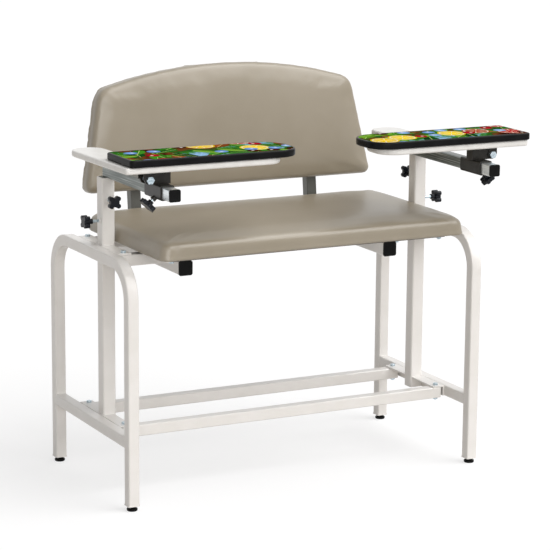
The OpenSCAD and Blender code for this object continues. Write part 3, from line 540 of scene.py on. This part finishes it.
laminate, tree, where = finish_of("white_laminate")
drift = add(tree, "TexNoise", {"Vector": where, "Scale": 1 / LAMINATE_DRIFT, "Detail": 4.0})
tint = add(tree, "ValToRGB", (drift,), stops=((0.3, "#ebe9e6"), (0.7, "#f3f2ef")))
satin = add(tree, "TexNoise", {"Vector": where, "Scale": 1 / SATIN, "Detail": 1.0})
bump = add(tree, "Bump", {"Height": satin, "Strength": 0.2, "Distance": SATIN_DEPTH})
surface = {"Base Color": tint, "Normal": bump, "Roughness": 0.34}
surfaced(tree, surface)
dress(laminate, *both("arm_board"))
ease(BULLNOSE, *both("arm_board"), segments=BULLNOSE_STEPS)

# ---------- arm pads ----------
# A moulded pad along the front of each board, with a printed panel sunk into its top.
# Self-skinned polyurethane foam, black, with rolled edges and a satin leathery skin.
LEATHER, LEATHER_DEPTH = 0.0012, 0.00008
SKIN_DRIFT = 0.04
# The outline's corner radii: in front and behind at the inner end, and both at the outer end
PAD_NOSE, PAD_TAIL, PAD_END = 0.0612, 0.0748, 0.014
# The rolled edge, the rim round the panel and the depth that the panel is sunk
PAD_ROLL, PAD_RIM, PAD_SINK = 0.0045, 0.006, 0.001
LEVEL_FACE = 0.99
CREASE = math.radians(40)

pad_skin, tree, where = finish_of("black_foam_skin")
drift = add(tree, "TexNoise", {"Vector": where, "Scale": 1 / SKIN_DRIFT})
tint = add(tree, "ValToRGB", (drift,), stops=((0.3, "#0c0c0d"), (0.7, "#161617")))
leather = add(tree, "TexVoronoi", {"Vector": where, "Scale": 1 / LEATHER}, feature="SMOOTH_F1")
bump = add(tree, "Bump", {"Height": leather, "Strength": 0.25, "Distance": LEATHER_DEPTH})
surface = {"Base Color": tint, "Normal": bump, "Roughness": 0.3, "Specular IOR Level": 0.09}
surfaced(tree, surface)


def rounded(bm, geom, radius, affect, segments):
    """Rounds corners or edges by that radius."""
    bmesh.ops.bevel(
        bm,
        geom=geom,
        offset=radius,
        offset_type="OFFSET",
        affect=affect,
        segments=segments,
        profile=0.5,
        material=-1,
    )


def arm_pad(side):
    """One side's moulded pad: drawn from four corners, raised, rolled and sunk for its panel."""
    lo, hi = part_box("arm_pad_" + side)
    x_in, x_out = (lo.x, hi.x) if side == "right" else (hi.x, lo.x)
    bm = bmesh.new()
    outline = ((x_in, lo.y), (x_out, lo.y), (x_out, hi.y), (x_in, hi.y))
    corners = [bm.verts.new((x, y, lo.z)) for x, y in outline]
    bm.faces.new(corners)
    for corner, radius in zip(corners, (PAD_NOSE, PAD_END, PAD_END, PAD_TAIL)):
        rounded(bm, [corner], radius, "VERTICES", segments=14)
    top = bmesh.ops.extrude_face_region(bm, geom=bm.faces[:])["geom"]
    top_points = [g for g in top if isinstance(g, bmesh.types.BMVert)]
    bmesh.ops.translate(bm, verts=top_points, vec=(0, 0, hi.z - lo.z))
    bmesh.ops.recalc_face_normals(bm, faces=bm.faces)
    caps = [f for f in bm.faces if abs(f.normal.z) > LEVEL_FACE]
    rounded(bm, list({e for f in caps for e in f.edges}), PAD_ROLL, "EDGES", segments=6)
    lid = max((f for f in bm.faces if f.normal.z > LEVEL_FACE), key=lambda f: f.calc_area())
    bmesh.ops.inset_individual(bm, faces=[lid], thickness=PAD_RIM - PAD_ROLL, depth=0.0)
    sunk = bmesh.ops.extrude_discrete_faces(bm, faces=[lid])["faces"][0]
    bmesh.ops.translate(bm, verts=sunk.verts, vec=(0, 0, -PAD_SINK))
    mesh = bpy.data.meshes.new("arm_pad_foam_" + side)
    bm.to_mesh(mesh)
    bm.free()
    pad = bpy.data.objects.new("arm_pad_foam_" + side, mesh)
    scene.collection.objects.link(pad)
    mesh.polygons.foreach_set("use_smooth", [True] * len(mesh.polygons))
    mesh.set_sharp_from_angle(angle=CREASE)
    dress(pad_skin, pad.name)
    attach(pad, "armrest_" + side)
    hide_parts("arm_pad_" + side)


for side in ("left", "right"):
    arm_pad(side)

# ---------- printed panels ----------
# A thin sheet pressed into each pad's sunk top: a printed film with a matt face. The print shows
# leaves, fruit slices and berries in garden colours, 40 to 110 mm across, over soft patches of
# earth, foliage and sky.
GROUND = (
    (0.38, "#2e150c"),
    (0.45, "#7c3f20"),
    (0.50, "#1f5220"),
    (0.57, "#3f8428"),
    (0.64, "#9cc4f2"),
)
GREENS = ("#14481a", "#236c22", "#3f8a24", "#6fa52c")
FRUITS = ("#f0c80a", "#b8101f", "#f7d514", "#a8401a")
BERRIES = ("#7fabec", "#b8152a", "#9cc2f5", "#4a1e12")
PATCH, SPECKLE = 0.14, 0.012
PATCH_SHARE = 0.8

print_film, film, film_place = finish_of("printed_panel_film")


def scatter(cell, seed, jitter):
    """Spots about a cell apart, each turned at random.

    Gives the place as measured from the nearest spot's middle, and two random values of that spot.
    """
    moved = add(film, "Mapping", {"Vector": film_place, "Location": (seed, seed * 1.7, 0)})
    pattern = {"Vector": moved, "Scale": 1 / cell, "Randomness": jitter}
    spot = add(film, "TexVoronoi", pattern, voronoi_dimensions="2D").outputs
    turn_luck, ink_luck, keep_luck = add(film, "SeparateColor", (spot["Color"],)).outputs
    offset = add(film, "VectorMath", (moved, spot["Position"]), operation="SUBTRACT")
    angle = add(film, "Math", (turn_luck, 2 * math.pi), operation="MULTIPLY")
    turned = add(film, "VectorRotate", {"Vector": offset, "Angle": angle}, rotation_type="Z_AXIS")
    x, y, _ = add(film, "SeparateXYZ", (turned,)).outputs
    return x, y, ink_luck, keep_luck


def away(x, y):
    """How far a place is from the middle."""
    squares = [add(film, "Math", (axis, 2.0), operation="POWER") for axis in (x, y)]
    return add(film, "Math", (add(film, "Math", squares, operation="ADD"),), operation="SQRT")


def ink_of(luck, chips):
    """One of a few inks, by a random value."""
    stops = [(i / len(chips), chip) for i, chip in enumerate(chips)]
    ink = add(film, "ValToRGB", (luck,), stops=stops)
    ink.color_ramp.interpolation = "CONSTANT"
    return ink


def shaded(ink, shade):
    """Ink made lighter or darker by a factor."""
    colours = {0: 1.0, 6: ink, 7: shade}
    return add(film, "Mix", colours, data_type="RGBA", blend_type="MULTIPLY")


def over(under, cover, ink):
    """Ink printed over what is under it."""
    return add(film, "Mix", {0: cover, 6: under, 7: ink}, data_type="RGBA")


def printed(under, inside, keep_luck, missing, ink):
    """A motif printed over what is under it, on all its spots but the share that is missing."""
    kept = add(film, "Math", (keep_luck, missing), operation="GREATER_THAN")
    return over(under, add(film, "Math", (inside, kept), operation="MULTIPLY"), ink)


def leaves(under, cell, seed, reach, chips):
    """Pointed leaves with a pale rib, a dark edge and one half darker, reaching to their tips."""
    slimness, missing = 0.42, 0.15
    rib, rib_core, fold = 0.0011, 0.0006, 0.0005
    dark_edge, soft_edge = 0.0025, 0.0006
    dark_half, light_half, darkest = 0.72, 1.1, 0.35
    x, y, ink_luck, keep_luck = scatter(cell, seed, jitter=0.8)
    share = add(film, "Math", (x, reach), operation="DIVIDE")
    curve = add(film, "Math", (share, 2.0), operation="POWER")
    bow = add(film, "Math", (1.0, curve), operation="SUBTRACT")
    width = add(film, "Math", (bow, reach * slimness), operation="MULTIPLY")
    off_rib = add(film, "Math", (y,), operation="ABSOLUTE")
    inside = add(film, "Math", (width, off_rib), operation="SUBTRACT")
    half = add(film, "MapRange", (y, -fold, fold, dark_half, light_half))
    outline = add(film, "MapRange", (inside, 0.0, dark_edge, darkest))
    shade = add(film, "Math", (half, outline), operation="MULTIPLY")
    in_rib = add(film, "MapRange", (off_rib, rib, rib_core))
    leaf = over(shaded(ink_of(ink_luck, chips), shade), in_rib, linear("#c9d98a"))
    in_leaf = add(film, "MapRange", (inside, 0.0, soft_edge))
    return printed(under, in_leaf, keep_luck, missing, leaf)


def slices(under, cell, seed, reach, chips):
    """Round fruit slices: a rind, a pale ring and eight segments."""
    missing, segments = 0.35, 8
    pith_from, flesh_from, blur, soft_edge = 0.90, 0.82, 0.04, 0.0008
    gap, full = 0.16, 0.30
    bright_core, dark_rim = 1.25, 0.85
    x, y, ink_luck, keep_luck = scatter(cell, seed, jitter=0.55)
    radius = away(x, y)
    angle = add(film, "Math", (y, x), operation="ARCTAN2")
    turns = add(film, "Math", (angle, segments / 2), operation="MULTIPLY")
    waves = add(film, "Math", (turns,), operation="SINE")
    wedges = add(film, "Math", (waves,), operation="ABSOLUTE")
    in_wedge = add(film, "MapRange", (wedges, gap, full))
    in_pith = add(film, "MapRange", (radius, reach * pith_from, reach * (pith_from - blur)))
    in_ring = add(film, "MapRange", (radius, reach * flesh_from, reach * (flesh_from - blur)))
    in_flesh = add(film, "Math", (in_wedge, in_ring), operation="MULTIPLY")
    shade = add(film, "MapRange", (radius, 0.0, reach, bright_core, dark_rim))
    rind = ink_of(ink_luck, chips)
    fruit = over(over(rind, in_pith, linear("#f4ead0")), in_flesh, shaded(rind, shade))
    in_slice = add(film, "MapRange", (radius, reach, reach - soft_edge))
    return printed(under, in_slice, keep_luck, missing, fruit)


def berries(under, cell, seed, reach, chips):
    """Round berries, darker at the rim and with a light spot."""
    missing, soft_edge = 0.3, 0.0006
    spot_place, spot_size, spot_core = reach * 0.3, reach * 0.3, reach * 0.1
    bright_core, dark_rim = 1.1, 0.55
    x, y, ink_luck, keep_luck = scatter(cell, seed, jitter=0.7)
    radius = away(x, y)
    from_spot = away(add(film, "Math", (x, spot_place), operation="SUBTRACT"), y)
    shade = add(film, "MapRange", (radius, spot_size, reach, bright_core, dark_rim))
    in_spot = add(film, "MapRange", (from_spot, spot_size, spot_core))
    berry = over(shaded(ink_of(ink_luck, chips), shade), in_spot, linear("#f6f3ee"))
    in_berry = add(film, "MapRange", (radius, reach, reach - soft_edge))
    return printed(under, in_berry, keep_luck, missing, berry)


patch = add(film, "TexNoise", {"Vector": film_place, "Scale": 1 / PATCH, "Detail": 1.0})
speckle = add(film, "TexNoise", {"Vector": film_place, "Scale": 1 / SPECKLE, "Detail": 3.0})
broad = add(film, "Math", (patch, PATCH_SHARE), operation="MULTIPLY")
fine = add(film, "Math", (speckle, 1 - PATCH_SHARE), operation="MULTIPLY")
ground = add(film, "Math", (broad, fine), operation="ADD")
art = add(film, "ValToRGB", (ground,), stops=GROUND)
art = leaves(art, cell=0.085, seed=0.31, reach=0.054, chips=(*GREENS, "#7a3a1c"))
art = leaves(art, cell=0.075, seed=0.77, reach=0.045, chips=(*GREENS, "#9c5226"))
art = slices(art, cell=0.118, seed=0.12, reach=0.041, chips=FRUITS)
art = berries(art, cell=0.066, seed=0.53, reach=0.019, chips=BERRIES)
surfaced(film, {"Base Color": art, "Roughness": 0.5, "Specular IOR Level": 0.0})
dress(print_film, *both("pad_panel"))
